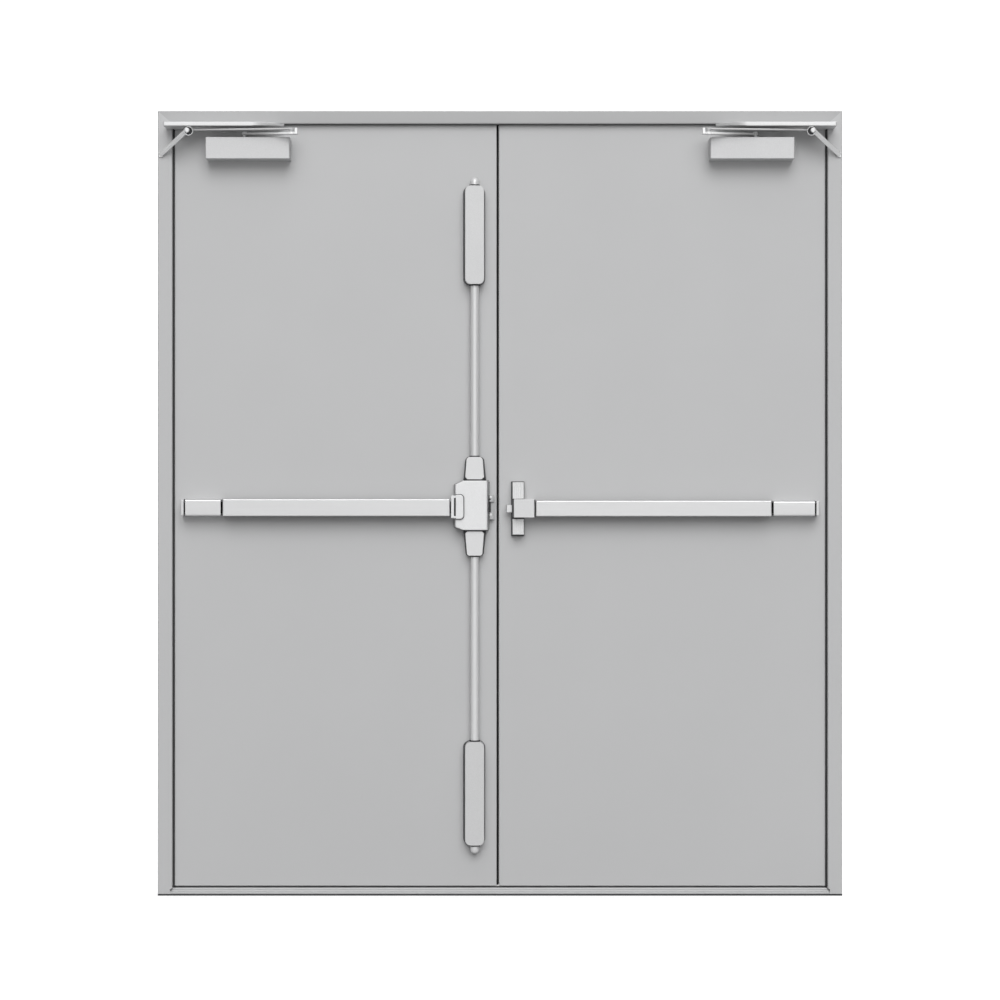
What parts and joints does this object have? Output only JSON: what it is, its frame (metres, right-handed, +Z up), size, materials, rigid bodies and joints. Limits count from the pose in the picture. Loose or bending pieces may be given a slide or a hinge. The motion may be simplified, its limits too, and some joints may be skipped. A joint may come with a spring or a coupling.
{
  "type": "double fire door",
  "caption": "Pair of flush steel fire doors in a folded steel frame with sill, push-bar exit devices, upright rods, rim latch and parallel-arm closers.",
  "frame": {"origin": "on the floor under the middle of the sill, halfway through the depth of the frame", "axes": "+X to the right as seen from the push side, +Y away from the push side into the swing, +Z up"},
  "size_m": [1.9194, 0.163, 2.2004],
  "materials": {
    "frame_paint": "semi-gloss paint",
    "door_paint": "semi-gloss paint",
    "inner_steel": "mill finish",
    "core_board": "mineral board",
    "seal_rubber": "matt",
    "sill_metal": "mill finish",
    "hinge_steel": "satin",
    "silver_cover": "satin silver lacquer",
    "bar_satin": "satin",
    "rod_satin": "satin",
    "arm_steel": "satin",
    "dark_block": "satin"
  },
  "bodies": {
    "frame": {"left_jamb": "frame_paint", "right_jamb": "frame_paint", "head": "frame_paint", "sill": "sill_metal", "seal": "seal_rubber", "left_hinge_frame_halves": "hinge_steel", "right_hinge_frame_halves": "hinge_steel", "left_closer_bracket": "silver_cover", "right_closer_bracket": "silver_cover"},
    "left_leaf": {"left_leaf_sheets": "door_paint", "left_leaf_channels": "inner_steel", "left_leaf_core": "core_board", "meeting_seal": "seal_rubber", "left_hinge_leaf_halves": "hinge_steel", "left_closer_body": "silver_cover", "left_rail": "inner_steel", "left_rail_cover": "silver_cover", "left_end_cap": "silver_cover", "left_case_clip": "silver_cover", "left_centre_case": "silver_cover", "left_upper_cover": "silver_cover", "left_lower_cover": "silver_cover", "left_upper_guide": "silver_cover", "left_lower_guide": "silver_cover", "left_strike": "silver_cover"},
    "right_leaf": {"right_leaf_sheets": "door_paint", "right_leaf_channels": "inner_steel", "right_leaf_core": "core_board", "right_hinge_leaf_halves": "hinge_steel", "right_closer_body": "silver_cover", "right_rail": "inner_steel", "right_rail_cover": "silver_cover", "right_end_cap": "silver_cover", "right_head_case": "silver_cover", "right_latch_blocks": "dark_block"},
    "left_bar": {"left_push_bar": "bar_satin"},
    "right_bar": {"right_push_bar": "bar_satin"},
    "upper_rod": {"left_upper_rod": "rod_satin"},
    "lower_rod": {"left_lower_rod": "rod_satin"},
    "latch_bolt": {"right_latch_bolt": "rod_satin"},
    "left_main_arm": {"left_closer_arm": "arm_steel"},
    "right_main_arm": {"right_closer_arm": "arm_steel"},
    "left_fore_arm": {"left_closer_forearm": "arm_steel"},
    "right_fore_arm": {"right_closer_forearm": "arm_steel"}
  },
  "joints": [
    {"name": "left_leaf_swing", "type": "hinge", "parent": "frame", "child": "left_leaf", "pos_m": [-0.9305, 0.041, 1.1], "axis": [0, 0, 1], "range_deg": [0, 100], "stiffness_Nm_per_rad": 8, "springref_deg": -17.19},
    {"name": "right_leaf_swing", "type": "hinge", "parent": "frame", "child": "right_leaf", "pos_m": [0.9305, 0.041, 1.1], "axis": [0, 0, 1], "range_deg": [-100, 0], "stiffness_Nm_per_rad": 8, "springref_deg": 17.19},
    {"name": "left_bar_push", "type": "slide", "parent": "left_leaf", "child": "left_bar", "axis": [0, 1, 0], "range_m": [0, 0.015], "stiffness_N_per_m": 1500, "springref_m": -0.01},
    {"name": "right_bar_push", "type": "slide", "parent": "right_leaf", "child": "right_bar", "axis": [0, 1, 0], "range_m": [0, 0.015], "stiffness_N_per_m": 1500, "springref_m": -0.01},
    {"name": "upper_rod_draw", "type": "slide", "parent": "left_leaf", "child": "upper_rod", "axis": [0, 0, -1], "range_m": [0, 0.012]},
    {"name": "lower_rod_draw", "type": "slide", "parent": "left_leaf", "child": "lower_rod", "axis": [0, 0, 1], "range_m": [0, 0.012]},
    {"name": "latch_draw", "type": "slide", "parent": "right_leaf", "child": "latch_bolt", "axis": [1, 0, 0], "range_m": [0, 0.012]},
    {"name": "left_spindle_turn", "type": "hinge", "parent": "left_leaf", "child": "left_main_arm", "pos_m": [-0.715, -0.044, 2.12145], "axis": [0, 0, 1], "range_deg": [-107.6, 0]},
    {"name": "right_spindle_turn", "type": "hinge", "parent": "right_leaf", "child": "right_main_arm", "pos_m": [0.715, -0.044, 2.12145], "axis": [0, 0, 1], "range_deg": [0, 107.6]},
    {"name": "left_bracket_pivot", "type": "hinge", "parent": "frame", "child": "left_fore_arm", "pos_m": [-0.872, -0.074, 2.14], "axis": [0, 0, 1], "range_deg": [0, 72]},
    {"name": "right_bracket_pivot", "type": "hinge", "parent": "frame", "child": "right_fore_arm", "pos_m": [0.872, -0.074, 2.14], "axis": [0, 0, 1], "range_deg": [-72, 0]}
  ],
  "couplings": [
    {"joint": "upper_rod_draw", "follows": "left_bar_push", "ratio": 0.8},
    {"joint": "lower_rod_draw", "follows": "left_bar_push", "ratio": 0.8},
    {"joint": "latch_draw", "follows": "right_bar_push", "ratio": 0.8},
    {"joint": "left_spindle_turn", "follows": "left_leaf_swing", "ratio": -1.0751},
    {"joint": "right_spindle_turn", "follows": "right_leaf_swing", "ratio": -1.0751},
    {"joint": "left_bracket_pivot", "follows": "left_leaf_swing", "ratio": 0.7191},
    {"joint": "right_bracket_pivot", "follows": "right_leaf_swing", "ratio": 0.7191}
  ]
}
